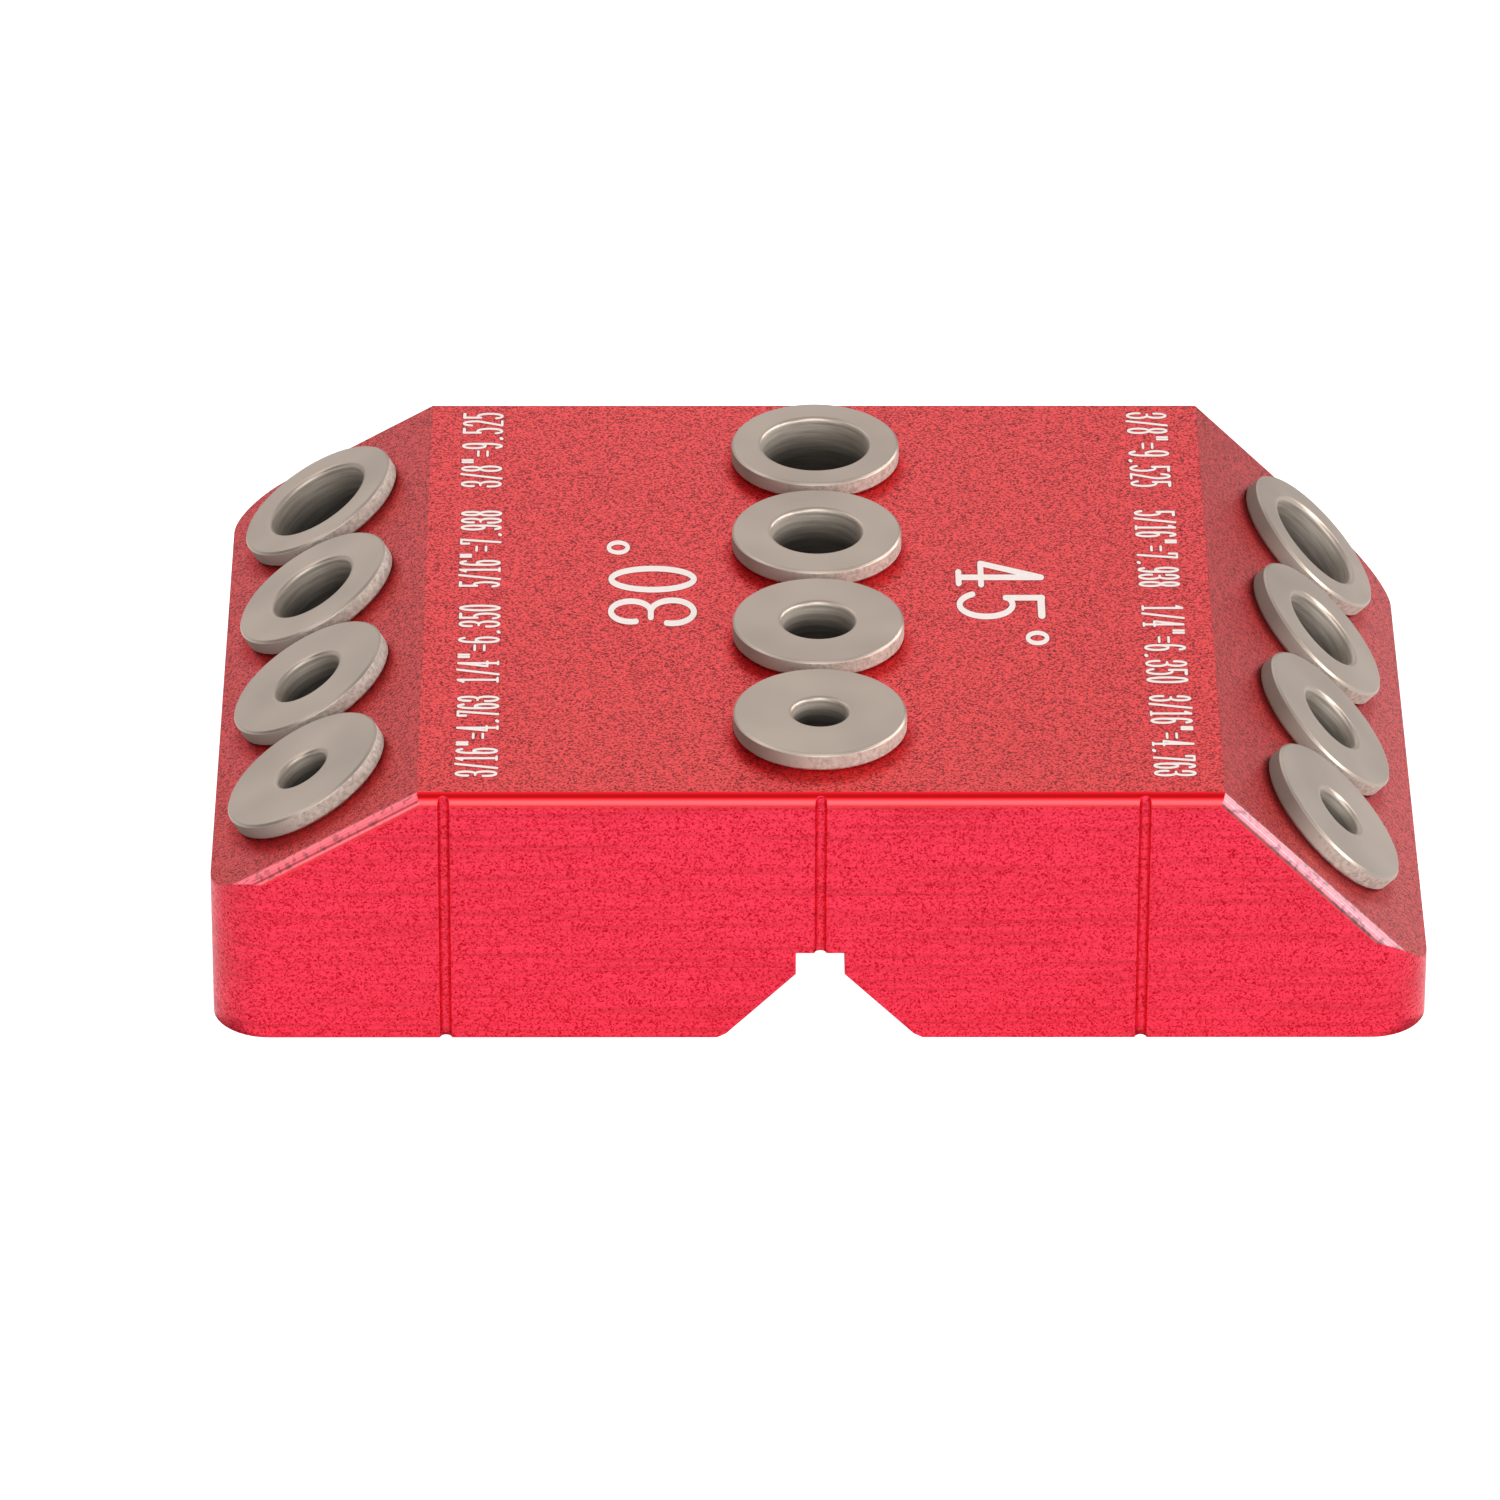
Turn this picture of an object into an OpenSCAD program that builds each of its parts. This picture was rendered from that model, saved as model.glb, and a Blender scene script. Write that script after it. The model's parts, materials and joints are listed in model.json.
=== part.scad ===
// Angle drill guide: an aluminium block with three rows of pressed-in drill bushings.
// Millimetres. The origin is under the middle of the block, on the face it rests on.
// X runs from the 30 degree slope to the 45 degree slope, Y from front to back, Z up.

/* [Block] */
// Length of the block, from the low side of one slope to that of the other
block_length = 105; // [98:1:125]
// Height of the block, from its base to the flat top
block_height = 24; // [23:0.5:32]
// Radius of the four upright corners, seen from above
corner_radius = 5; // [1:0.5:8]
// Radius of the rounded front edge of the top and of both slopes
edge_radius = 1; // [0.4:0.1:2]

/* [Slopes] */
// Tilt of the left-hand slope and of its drill axes
left_angle = 30; // [25:1:35]
// Tilt of the right-hand slope and of its drill axes
right_angle = 45; // [40:1:46]
// Horizontal distance from the top edge of a slope to its bushing centres
slope_inset = 9.5; // [8.5:0.1:10.5]
// Horizontal distance from the bushing centres of a slope to the side of the block
slope_outset = 8.5; // [7.5:0.1:9.5]

/* [Underside groove] */
// Width of the V groove where it opens in the base
groove_mouth = 17; // [14:0.5:20]
// Angle of the groove's flanks above the base
groove_flank_angle = 45; // [40:1:50]
// Width of the relief slot at the root of the groove
slot_width = 4.2; // [3:0.1:6]
// Height of the top of the relief slot above the base
slot_top = 8.5; // [8:0.1:10]
// Edge break on the two lips of the groove
lip_break = 0.4; // [0.1:0.1:1]

/* [Scribed marks] */
// Radius of the ball cutter that scribes the marks
scribe_radius = 0.5; // [0.3:0.05:0.8]
// Depth of the marks in the front face
scribe_depth = 0.5; // [0.2:0.05:0.8]
// Distance under the base at which each side mark meets its drill axis
aim_depth = 1.8; // [0:0.1:4]

/* [Bushings] */
// Bore of the three bushings at the back, for a 3/8 in drill
bore_3_8 = 9.525; // [9:0.025:10]
// Bore of the next three, for a 5/16 in drill
bore_5_16 = 7.9375; // [7.5:0.0125:8.5]
// Bore of the next three, for a 1/4 in drill
bore_1_4 = 6.35; // [6:0.05:7]
// Bore of the three at the front, for a 3/16 in drill
bore_3_16 = 4.7625; // [4.5:0.0125:5.5]
// Wall of the bushing body round the largest bore
body_wall = 1.2375; // [1:0.0125:1.75]
// Length of the bushing body below its flange
body_length = 12; // [8:0.5:14]
// Chamfer that leads the body into its seat
body_lead = 0.5; // [0.2:0.1:0.8]
// Width of the flange round the body
flange_lip = 1.5; // [1:0.1:2]
// Thickness of the flange
flange_t = 1.6; // [1:0.1:2.5]
// Chamfer on the upper and lower edge of the flange
flange_break = 0.2; // [0.05:0.05:0.3]
// Radius of the rounded mouth that leads the drill into the bore
mouth_radius = 0.4; // [0.2:0.05:0.6]

/* [Places of the bushings] */
// Gap between the flanges of one size and the next
flange_gap = 1; // [0.4:0.1:3]
// Distance from the front face to the front flanges
front_land = 4.5; // [3:0.1:8]
// Distance from the back flanges to the back face
back_land = 2.5; // [1:0.1:8]

/* [Hidden] */
$fn = 96;
// How far a cut runs past the surface it opens in
overrun = 1;
// Corners of the polygon that rounds a bore mouth
mouth_steps = 6;

ROWS = ["30deg", "90deg", "45deg"];
SIZES = ["3_8in", "5_16in", "1_4in", "3_16in"];
bores = [bore_3_8, bore_5_16, bore_1_4, bore_3_16];
row_numbers = [0 : len(ROWS) - 1];
size_numbers = [0 : len(SIZES) - 1];

// Bushing body, which is also the diameter of its seat, its flange, and the distance from size to size
body_d = max(bores) + 2 * body_wall;
flange_d = body_d + 2 * flange_lip;
size_pitch = flange_d + flange_gap;

// Depth of the block, its half sizes, and the ridges between the top and the slopes
block_depth = front_land + flange_d + (len(SIZES) - 1) * size_pitch + back_land;
half_length = block_length / 2;
half_depth = block_depth / 2;
slope_run = slope_inset + slope_outset;
ridge_x = half_length - slope_run;
left_side_height = block_height - slope_run * tan(left_angle);
right_side_height = block_height - slope_run * tan(right_angle);

// Tilt about Y of each row, the centre of its seats on the surface, and its drill axis on the base
row_tilts = [-left_angle, 0, right_angle];
row_x = [-ridge_x - slope_inset, 0, ridge_x + slope_inset];
row_z = [
    block_height - slope_inset * tan(left_angle),
    block_height,
    block_height - slope_inset * tan(right_angle)
];
mark_x = [for (r = row_numbers) row_x[r] - (row_z[r] + aim_depth) * tan(row_tilts[r])];

// Half widths and height of the V groove
mouth_half = groove_mouth / 2;
slot_half = slot_width / 2;
flank_height = (mouth_half - slot_half) * tan(groove_flank_angle);

function bushing_name(r, s) = str("bushing_", ROWS[r], "_", SIZES[s]);

// Place along Y of a size's bushings: the sizes run from the back to the front
function size_y(s) = front_land + flange_d / 2 - half_depth + (len(SIZES) - 1 - s) * size_pitch;

// Moves its children from the origin to the seat of one bushing, with +Z out of the surface
module at_seat(r, s) {
    translate([row_x[r], size_y(s), row_z[r]])
        rotate([0, row_tilts[r], 0])
            children();
}

// Outline of the block seen from the front
module front_outline() {
    polygon([
        [-half_length, 0],
        [-mouth_half - lip_break, 0],
        [-mouth_half + lip_break, lip_break * tan(groove_flank_angle)],
        [-slot_half, flank_height],
        [-slot_half, slot_top],
        [slot_half, slot_top],
        [slot_half, flank_height],
        [mouth_half - lip_break, lip_break * tan(groove_flank_angle)],
        [mouth_half + lip_break, 0],
        [half_length, 0],
        [half_length, right_side_height],
        [ridge_x, block_height],
        [-ridge_x, block_height],
        [-half_length, left_side_height]
    ]);
}

// Outline of the block seen from above
module plan_outline() {
    square([block_length - 2 * corner_radius, block_depth], center = true);
    square([block_length, block_depth - 2 * corner_radius], center = true);
    for (x = [-1, 1], y = [-1, 1])
        translate([x * (half_length - corner_radius), y * (half_depth - corner_radius)])
            circle(r = corner_radius);
}

// Bar that rounds a front edge, from x = 0 for the given length
module rounding_cut(length) {
    translate([0, -half_depth, 0])
        rotate([90, 0, 90])
            linear_extrude(length)
                difference() {
                    translate([-overrun, -edge_radius])
                        square([edge_radius + overrun, edge_radius + overrun]);
                    translate([edge_radius, -edge_radius])
                        circle(r = edge_radius);
                }
}

// Rounded front edges of the top and of the two slopes
module front_roundings() {
    translate([-ridge_x, 0, block_height]) {
        rounding_cut(2 * ridge_x);
        rotate([0, -left_angle, 0])
            translate([-block_length, 0, 0])
                rounding_cut(block_length);
    }
    translate([ridge_x, 0, block_height])
        rotate([0, right_angle, 0])
            rounding_cut(block_length);
}

// Upright marks on the front face, one for each row of drill axes
module scribed_marks() {
    for (x = mark_x)
        translate([x, scribe_depth - scribe_radius - half_depth, -overrun])
            linear_extrude(block_height + 2 * overrun) {
                circle(r = scribe_radius);
                translate([-scribe_radius, -scribe_depth - overrun])
                    square([2 * scribe_radius, scribe_depth + overrun]);
            }
}

// Seat of one bushing, reamed from its surface right through the block
module seat_cut(r, s) {
    reach = row_z[r] / cos(row_tilts[r]) + body_d * tan(abs(row_tilts[r])) + overrun;
    at_seat(r, s)
        translate([0, 0, -reach])
            cylinder(d = body_d, h = reach + overrun);
}

module guide_block() {
    color("crimson")
        difference() {
            intersection() {
                translate([0, half_depth, 0])
                    rotate([90, 0, 0])
                        linear_extrude(block_depth)
                            front_outline();
                linear_extrude(block_height)
                    plan_outline();
            }
            front_roundings();
            scribed_marks();
            for (r = row_numbers, s = size_numbers)
                seat_cut(r, s);
        }
}

// Half section of a bushing, with z = 0 where its flange rests on the block
function bushing_section(bore) = concat(
    [
        [bore / 2, -body_length],
        [body_d / 2 - body_lead, -body_length],
        [body_d / 2, body_lead - body_length],
        [body_d / 2, 0],
        [flange_d / 2 - flange_break, 0],
        [flange_d / 2, flange_break],
        [flange_d / 2, flange_t - flange_break],
        [flange_d / 2 - flange_break, flange_t]
    ],
    [
        for (i = [0 : mouth_steps])
            let (turn = 90 * i / mouth_steps)
                [
                    bore / 2 + mouth_radius * (1 - sin(turn)),
                    flange_t - mouth_radius * (1 - cos(turn))
                ]
    ]
);

module bushing(r, s) {
    color("silver")
        at_seat(r, s)
            rotate_extrude()
                polygon(bushing_section(bores[s]));
}

guide_block();
for (r = row_numbers, s = size_numbers)
    bushing(r, s);
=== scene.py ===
"""Looks of an angle drill guide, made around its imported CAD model.

A block of red anodised aluminium holds three rows of pressed-in drill bushings of hardened steel.
The model stays as it is. This file gives it its finishes, its number marks and a small studio.
Metres, in the frame of the model: X from the 30 degree slope to the 45 degree slope, Y from
front to back, Z up, and the origin under the middle of the block.
"""

import json
import math

import bmesh
import bpy
from bpy.props import FloatProperty, FloatVectorProperty, IntProperty, PointerProperty
from mathutils import Matrix, Vector
from mathutils.geometry import delaunay_2d_cdt


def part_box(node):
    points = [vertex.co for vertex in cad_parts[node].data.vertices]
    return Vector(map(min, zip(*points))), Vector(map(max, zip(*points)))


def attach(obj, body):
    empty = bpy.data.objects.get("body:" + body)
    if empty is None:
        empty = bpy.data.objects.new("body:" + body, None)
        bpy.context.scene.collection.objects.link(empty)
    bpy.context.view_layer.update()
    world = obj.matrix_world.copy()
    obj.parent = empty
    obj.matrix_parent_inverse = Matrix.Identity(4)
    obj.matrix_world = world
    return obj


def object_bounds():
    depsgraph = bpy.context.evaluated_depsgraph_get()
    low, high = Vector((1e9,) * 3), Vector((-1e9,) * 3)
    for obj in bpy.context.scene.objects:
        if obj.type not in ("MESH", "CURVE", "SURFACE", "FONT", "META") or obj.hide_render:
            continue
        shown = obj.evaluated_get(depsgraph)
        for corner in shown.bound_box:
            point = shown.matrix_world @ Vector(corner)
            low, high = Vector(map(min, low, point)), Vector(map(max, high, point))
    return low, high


bl_info = {
    "name": "Angle drill guide looks",
    "version": (1, 0, 0),
    "blender": (4, 5, 0),
    "location": "3D View > Sidebar > Drill guide",
    "description": "Finishes, number marks and studio of an angle drill guide",
    "category": "Object",
}

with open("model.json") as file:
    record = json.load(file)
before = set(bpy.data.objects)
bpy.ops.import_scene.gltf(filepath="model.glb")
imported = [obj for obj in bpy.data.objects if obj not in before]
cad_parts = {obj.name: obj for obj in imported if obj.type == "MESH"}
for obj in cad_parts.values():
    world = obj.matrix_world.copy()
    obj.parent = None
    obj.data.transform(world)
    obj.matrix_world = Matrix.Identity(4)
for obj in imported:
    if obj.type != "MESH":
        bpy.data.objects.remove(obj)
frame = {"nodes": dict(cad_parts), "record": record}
CAD_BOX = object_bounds()

MM = 0.001
BLOCK = "guide_block"
ROWS = ("30deg", "90deg", "45deg")
SIZES = ("3_8in", "5_16in", "1_4in", "3_16in")
BORES = {mount["name"]: mount for mount in frame["record"]["mounts"] if mount["kind"] == "bore"}
FLAT_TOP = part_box(BLOCK)[1].z
LEVEL_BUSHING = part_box("bushing_90deg_3_8in")
FLANGE_RADIUS = (LEVEL_BUSHING[1].x - LEVEL_BUSHING[0].x) / 2
# Distances from a bushing's axis. Its body lies inside the first, and beyond the second there is
# only flange.
BODY_REACH = (6.2 * MM, 6.4 * MM)
# Distances beyond the edge of the painted shadow's circle in front of a flange, between which that
# shadow fades out
PAINTED_SHADOW_FADE = (-0.2 * MM, 1.3 * MM)
# Index of refraction of the clear oxide that anodising grows
OXIDE_IOR = 1.65
# Depth of the block's pits, and of the lines and blotches on the steel
PIT_DEPTH = 0.02 * MM
LINE_DEPTH = 0.05 * MM
# Factors on X, Y and Z that draw the noise out along the cutter's lines, and round the bores
LINE_DRAW = (0.02, 0.02, 1)
RING_DRAW = (0.06, 0.06, 0)

# Places of the marks, on the flat top
ANGLE_MARKS = (
    # Row, X of the figures' feet, Y of the middle figure, and the side that their tops point to
    ("30deg", -10.6 * MM, 3.0 * MM, -1),
    ("45deg", 12.2 * MM, -1.8 * MM, 1),
)
SIZE_MARKS_Y = (26.7 * MM, 8.5 * MM, -8.5 * MM, -24.5 * MM)
SIZE_MARKS_X = 28.1 * MM
# The marks sit a little to the right, and turned by this many radians
MARKS_SHIFT = 0.25 * MM
MARKS_TURN = 0.007
# Width of the pen along and across a row of figures
ANGLE_PEN = (1.0 * MM, 0.52 * MM)
SIZE_PEN = (0.36 * MM, 0.23 * MM)
# How far the scorched line round a figure reaches
SCORCH = 0.07 * MM
# Share of its pitch that a figure fills
FIGURE_FILL = 0.84
# A stroke that turns by more, in radians, gets a round corner
SHARP_TURN = math.radians(30)
# Points of an outline that lie closer, in pen widths, are one
WELD = 1e-5

# Soft panels in the tent: degrees to the right of the front, degrees over the horizon, half the
# width in degrees of the even middle and of the whole panel, and the brightness that it adds. A
# black card takes brightness away.
PANELS = (
    (180, 30, 10, 50, 0.4),
    (150, 5, 10, 40, -0.3),
    (127, 16, 5, 14, 4.5),
    (98, 24, 5, 14, 4.5),
    (68, 21, 5, 14, 6.5),
    (45, 12, 5, 14, 4.5),
    (88, 22, 10, 30, 1.2),
    (28, 5, 10, 30, 0.4),
    (0, 12, 12, 36, 3.25),
    (0, 45, 10, 30, 1.2),
    (0, 90, 20, 40, -0.1),
    (-32, 5, 15, 42, -0.4),
    (-76, 12, 16, 34, -0.5),
    (-56, 39, 5, 14, 1.2),
    (-95, 42, 5, 14, 1.2),
    (-131, 35, 5, 14, 1.2),
    (-95, 42, 10, 35, 0.36),
)


def linear(hex_colour):
    """Linear RGB of an sRGB colour written as #rrggbb."""
    shares = [int(hex_colour[i : i + 2], 16) / 255 for i in (1, 3, 5)]
    return tuple(c / 12.92 if c <= 0.04045 else ((c + 0.055) / 1.055) ** 2.4 for c in shares)


def size_of(name, default, description):
    """A length property with its default in metres."""
    return FloatProperty(
        name=name,
        description=description,
        default=default,
        min=0,
        unit="LENGTH",
        precision=5,
    )


def share_of(name, default, description):
    """A property from 0 to 1."""
    return FloatProperty(
        name=name, description=description, default=default, min=0, max=1, subtype="FACTOR"
    )


def colour_of(name, hex_colour, description):
    """A colour property with its default as a hex value."""
    return FloatVectorProperty(
        name=name,
        description=description,
        default=linear(hex_colour),
        min=0,
        max=1,
        size=3,
        subtype="COLOR",
    )


class DrillGuideBlock(bpy.types.PropertyGroup):
    """Finish of the anodised block."""

    wall: colour_of("Walls", "#ff234c", "Colour of the dyed metal on the milled walls")
    wall_pits: colour_of("Wall pits", "#b80018", "Colour of the walls' pits and cutter lines")
    edge: colour_of("Rounded edges", "#ff081c", "Colour of the dyed metal on the rounded edges")
    blasted: colour_of("Blasted faces", "#ff1420", "Colour of the dyed metal on the blasted faces")
    blasted_pits: colour_of("Blasted pits", "#700004", "Colour of the blasted faces' pits")
    # Painted shade: the slopes, and the 45 degree slope more, are darkened in colour
    painted_slope_shade: share_of("Slope shade", 0.74, "Brightness of the slopes beside the flat top's")
    painted_steep_shade: share_of("Steep shade", 0.87, "Brightness of the 45 degree slope beside theirs")
    grain: size_of("Grain", 0.14 * MM, "Width of one grain of the surface")
    cutter_lines: size_of("Cutter lines", 0.3 * MM, "Distance between the cutter's lines on a wall")
    edge_radius: size_of("Edge radius", 0.12 * MM, "Radius of the broken edges")
    roughness: share_of("Roughness", 0.42, "Roughness of the dyed metal")
    gloss: share_of("Gloss", 0.28, "Roughness of the clear oxide")
    polish: share_of("Polish", 0.22, "Roughness of the rounded front edges")
    wall_oxide: share_of("Wall oxide", 0.45, "Weight of the clear oxide over the walls")
    blasted_oxide: share_of("Blasted oxide", 0.56, "Weight of the oxide over the blasted faces")
    edge_oxide: share_of("Edge oxide", 0.9, "Weight of the clear oxide over the rounded edges")
    # Painted shade: less sheen on the upper half of the flat top's rounded edge
    crest_oxide: share_of("Crest oxide", 0.15, "Share of it that is left along the flat top")
    # Painted highlight: the rounded edges of the slopes are paler, in mottled spots
    highlit_30deg: colour_of("Worn 30", "#f05765", "Colour of the worn edge of the 30 degree slope")
    highlit_30deg_spots: colour_of("Worn 30 spots", "#a83c48", "Colour of the duller spots on it")
    highlit_45deg: colour_of("Worn 45", "#a8545c", "Colour of the worn edge of the 45 degree slope")
    highlit_45deg_spots: colour_of("Worn 45 spots", "#603440", "Colour of the duller spots on it")
    highlight_spot: size_of("Worn spot", 0.6 * MM, "Width of those spots")
    # Painted shadow in front of each flange: darker red, with less oxide sheen
    painted_shadow_oxide: share_of("Lee oxide", 0.1, "Share of the oxide that is left in a flange's lee")
    painted_shadow_brightness: share_of("Lee shade", 0.82, "Brightness of the blasted faces there")
    painted_shadow_shift: size_of("Lee shift", 1.5 * MM, "Distance that the lee is shifted to the front")


class DrillGuideBushings(bpy.types.PropertyGroup):
    """Finish of the steel bushings."""

    steel: colour_of("Steel", "#bdada0", "Colour of the ground steel")
    # Colour of real scale, and also of the painted shade on the rims' 30 degree side
    scale: colour_of("Scale", "#84776c", "Colour of the scale on the rims and in the bores")
    rim: colour_of("Rim", "#d8d3c9", "Colour of the steel on the rims")
    bore: colour_of("Bore", "#f4eadd", "Colour of the steel in the bores")
    # Painted shade on the rims' side towards the 30 degree slope
    painted_rim_shade: share_of("Heavy scale", 0.8, "Share of scale on the rims' 30 degree side")
    roughness: share_of("Roughness", 0.34, "Roughness of the ground faces")
    rim_roughness: share_of("Rim roughness", 0.8, "Roughness of the rims")
    bore_roughness: share_of("Bore roughness", 0.7, "Roughness of the bores")
    # Painted shade: the bores darken with depth
    painted_shade_depth: share_of("Oil depth", 0.78, "Depth in the bore where it is darkest, in its radii")
    painted_bore_shade: share_of("Oil shade", 0.24, "Brightness of the bore at that depth")
    blotch: size_of("Blotches", 0.45 * MM, "Width of the blotches on the rims")
    cloud: size_of("Clouds", 7 * MM, "Width of the faint clouds on the ground faces")
    turning: size_of("Turning lines", 0.3 * MM, "Distance between the lines that turning leaves")
    edge_radius: size_of("Edge radius", 0.12 * MM, "Radius of the broken edges")


class DrillGuideMarks(bpy.types.PropertyGroup):
    """Sizes and colours of the number marks."""

    colour: colour_of("Marks", "#f4e6e0", "Colour of the bleached marks")
    scorched: colour_of("Scorched line", "#8a1420", "Colour of the thin line round the marks")
    cloud: size_of("Clouds", 0.5 * MM, "Width of the faint clouds on the marks")
    cloud_shade: share_of("Cloud shade", 0.85, "Brightness of the darkest clouds")
    proud: size_of("Height", 0.02 * MM, "How far the marks stand over the block")
    sunk: size_of("Depth", 0.03 * MM, "How far the marks reach into the block")
    angle_height: size_of("Angle numbers", 7.8 * MM, "Height of the two angle numbers")
    angle_pitch: size_of("Angle pitch", 5.7 * MM, "Distance between an angle number's figures")
    size_height: size_of("Size numbers", 3.68 * MM, "Height of the size numbers")
    size_length: size_of("Size length", 14.1 * MM, "Length of each row of size numbers")
    arc_steps: IntProperty(
        name="Arc steps",
        description="Straight pieces in a full turn of a round stroke",
        default=48,
        min=8,
    )


class DrillGuideStudio(bpy.types.PropertyGroup):
    """Floor, light and camera."""

    floor_size: size_of("Floor", 16.0, "Width of the floor")
    floor_colour: colour_of("Floor colour", "#b0b0b0", "Colour of the unlit floor")
    floor_light: FloatProperty(
        name="Floor light", description="Brightness of the light table", default=1.0, min=0
    )
    floor_spill: FloatProperty(
        name="Floor spill",
        description="Brightness of the table as the block sees it",
        default=0.52,
        min=0,
    )
    spill_reach: size_of("Spill reach", 0.15, "Distance that the spill of the table comes from")
    tent: FloatProperty(
        name="Tent", description="Brightness of the white tent round the block", default=0.74, min=0
    )
    lens: FloatProperty(
        name="Lens",
        description="Focal length of the camera, in millimetres on a 36 mm sensor",
        default=280.6,
        min=1,
    )
    camera_place: FloatVectorProperty(
        name="Camera",
        description="Place of the camera",
        default=(-0.01068, -0.89491, 0.52946),
        size=3,
        subtype="TRANSLATION",
        unit="LENGTH",
    )
    camera_yaw: FloatProperty(
        name="Yaw",
        description="Turn of the camera to the right of +Y",
        default=math.radians(0.306),
        subtype="ANGLE",
    )
    camera_pitch: FloatProperty(
        name="Pitch",
        description="Tilt of the camera below the horizon",
        default=math.radians(30.213),
        subtype="ANGLE",
    )
    camera_roll: FloatProperty(
        name="Roll",
        description="Turn of the camera about its view",
        default=math.radians(0.133),
        subtype="ANGLE",
    )


class DrillGuideSettings(bpy.types.PropertyGroup):
    """All settings of the drill guide."""

    block: PointerProperty(type=DrillGuideBlock)
    bushings: PointerProperty(type=DrillGuideBushings)
    marks: PointerProperty(type=DrillGuideMarks)
    studio: PointerProperty(type=DrillGuideStudio)


def fill(tree, node, inputs):
    """Fills a node's inputs, by name or number, with values, colours, nodes or sockets."""
    for key, value in inputs.items():
        if isinstance(key, str):
            socket = next(s for s in node.inputs if s.name == key and s.enabled)
        else:
            socket = node.inputs[key]
        if isinstance(value, bpy.types.Node):
            value = next(s for s in value.outputs if s.enabled)
        if isinstance(value, bpy.types.NodeSocket):
            tree.links.new(value, socket)
        elif socket.type == "RGBA":
            socket.default_value = (*value, 1)
        else:
            socket.default_value = value


def add(tree, kind, inputs=None, **settings):
    """Adds a node with its settings, and fills its inputs."""
    node = tree.nodes.new(kind)
    for name, value in settings.items():
        setattr(node, name, value)
    fill(tree, node, inputs or {})
    return node


def new_material(name, colour, roughness, metallic):
    """A material with one Principled shader, as (material, tree, shader)."""
    material = bpy.data.materials.new(name)
    material.use_nodes = True
    material.diffuse_color = (*colour, 1)
    tree = material.node_tree
    shader = next(node for node in tree.nodes if node.type == "BSDF_PRINCIPLED")
    fill(tree, shader, {"Base Color": colour, "Roughness": roughness, "Metallic": metallic})
    return material, tree, shader


def dress(node_name, material):
    """Gives a node of the model its material, in its object's slots."""
    slots = frame["nodes"][node_name].material_slots
    if not slots:
        raise RuntimeError(f"{node_name} has no material slot")
    for slot in slots:
        slot.material = material


def bore_of(row, size):
    """The model's bore of one bushing, as (its upper end, its axis, its diameter)."""
    mount = BORES[f"drill_{row}_{size}"]
    axis = Vector(mount["axis"])
    upper_end = Vector(mount["pos_m"]) + axis * (MM * mount["dims"]["length_mm"] / 2)
    return upper_end, axis, 2 * MM * mount["dims"]["r_mm"]


def row_axes(row):
    """A row's (upper end of its back bore, drill axis, direction across it, pitch)."""
    mouth, axis, _ = bore_of(row, SIZES[0])
    across = Vector((axis.z, 0, -axis.x))
    pitch = mouth.y - bore_of(row, SIZES[1])[0].y
    return mouth, axis, across, pitch


def block_areas(tree, normal):
    """Nodes that give 1 on the blasted faces and on the rounded front edges, and else 0."""
    frontal = add(tree, "ShaderNodeMath", {0: normal.outputs["Y"]}, operation="ABSOLUTE")
    # The top and the slopes face up without facing the front. The rounded edges face both ways.
    level = add(tree, "ShaderNodeMapRange", {"Value": frontal, "From Min": 0.08, "From Max": 0.03})
    raised = add(
        tree,
        "ShaderNodeMapRange",
        {"Value": normal.outputs["Z"], "From Min": 0.03, "From Max": 0.15},
    )
    blasted = add(tree, "ShaderNodeMath", {0: level, 1: raised}, operation="MULTIPLY")
    rounded = add(tree, "ShaderNodeMath", {0: raised, 1: blasted}, operation="SUBTRACT")
    return blasted, rounded


def painted_shadow_clearance(tree, place, shift):
    """A node that gives 0 in the painted shadow in front of each flange, and 1 away from it."""
    clear = 1.0
    for row in ROWS:
        mouth, _, across, pitch = row_axes(row)
        origin = mouth - Vector((0, shift, 0))
        offset = add(tree, "ShaderNodeVectorMath", {0: place, 1: origin}, operation="SUBTRACT")
        sideways = add(
            tree, "ShaderNodeVectorMath", {0: offset, 1: across}, operation="DOT_PRODUCT"
        ).outputs["Value"]
        forward = add(tree, "ShaderNodeSeparateXYZ", {0: offset}).outputs["Y"]
        # How many pitches in front of the row's first bushing the nearest one stands
        steps = add(tree, "ShaderNodeMath", {0: forward, 1: -pitch}, operation="DIVIDE")
        steps = add(tree, "ShaderNodeMath", {0: steps}, operation="ROUND")
        steps = add(tree, "ShaderNodeClamp", {"Value": steps, "Max": len(SIZES) - 1})
        forward = add(
            tree, "ShaderNodeMath", {0: steps, 1: pitch, 2: forward}, operation="MULTIPLY_ADD"
        )
        flat = add(tree, "ShaderNodeCombineXYZ", {"X": sideways, "Y": forward})
        radius = add(tree, "ShaderNodeVectorMath", {0: flat}, operation="LENGTH").outputs["Value"]
        beyond = add(
            tree,
            "ShaderNodeMapRange",
            {
                "Value": radius,
                "From Min": FLANGE_RADIUS + PAINTED_SHADOW_FADE[0],
                "From Max": FLANGE_RADIUS + PAINTED_SHADOW_FADE[1],
            },
            interpolation_type="SMOOTHSTEP",
        )
        clear = add(tree, "ShaderNodeMath", {0: clear, 1: beyond}, operation="MULTIPLY")
    return clear


def painted_slope_shading(tree, upward, finish):
    """Brightness of the blasted faces: 1 on the flat top, and less on the slopes.

    This is painted shade: the slopes, which are seen and lit at a lower angle, are darkened in
    colour.
    """
    slope = add(
        tree,
        "ShaderNodeMapRange",
        {"Value": upward, "From Min": 0.9, "From Max": 1, "To Min": finish.painted_slope_shade},
    )
    steep = add(
        tree,
        "ShaderNodeMapRange",
        {"Value": upward, "From Min": 0.75, "From Max": 0.83, "To Min": finish.painted_steep_shade},
    )
    return add(tree, "ShaderNodeMath", {0: slope, 1: steep}, operation="MULTIPLY")


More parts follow.
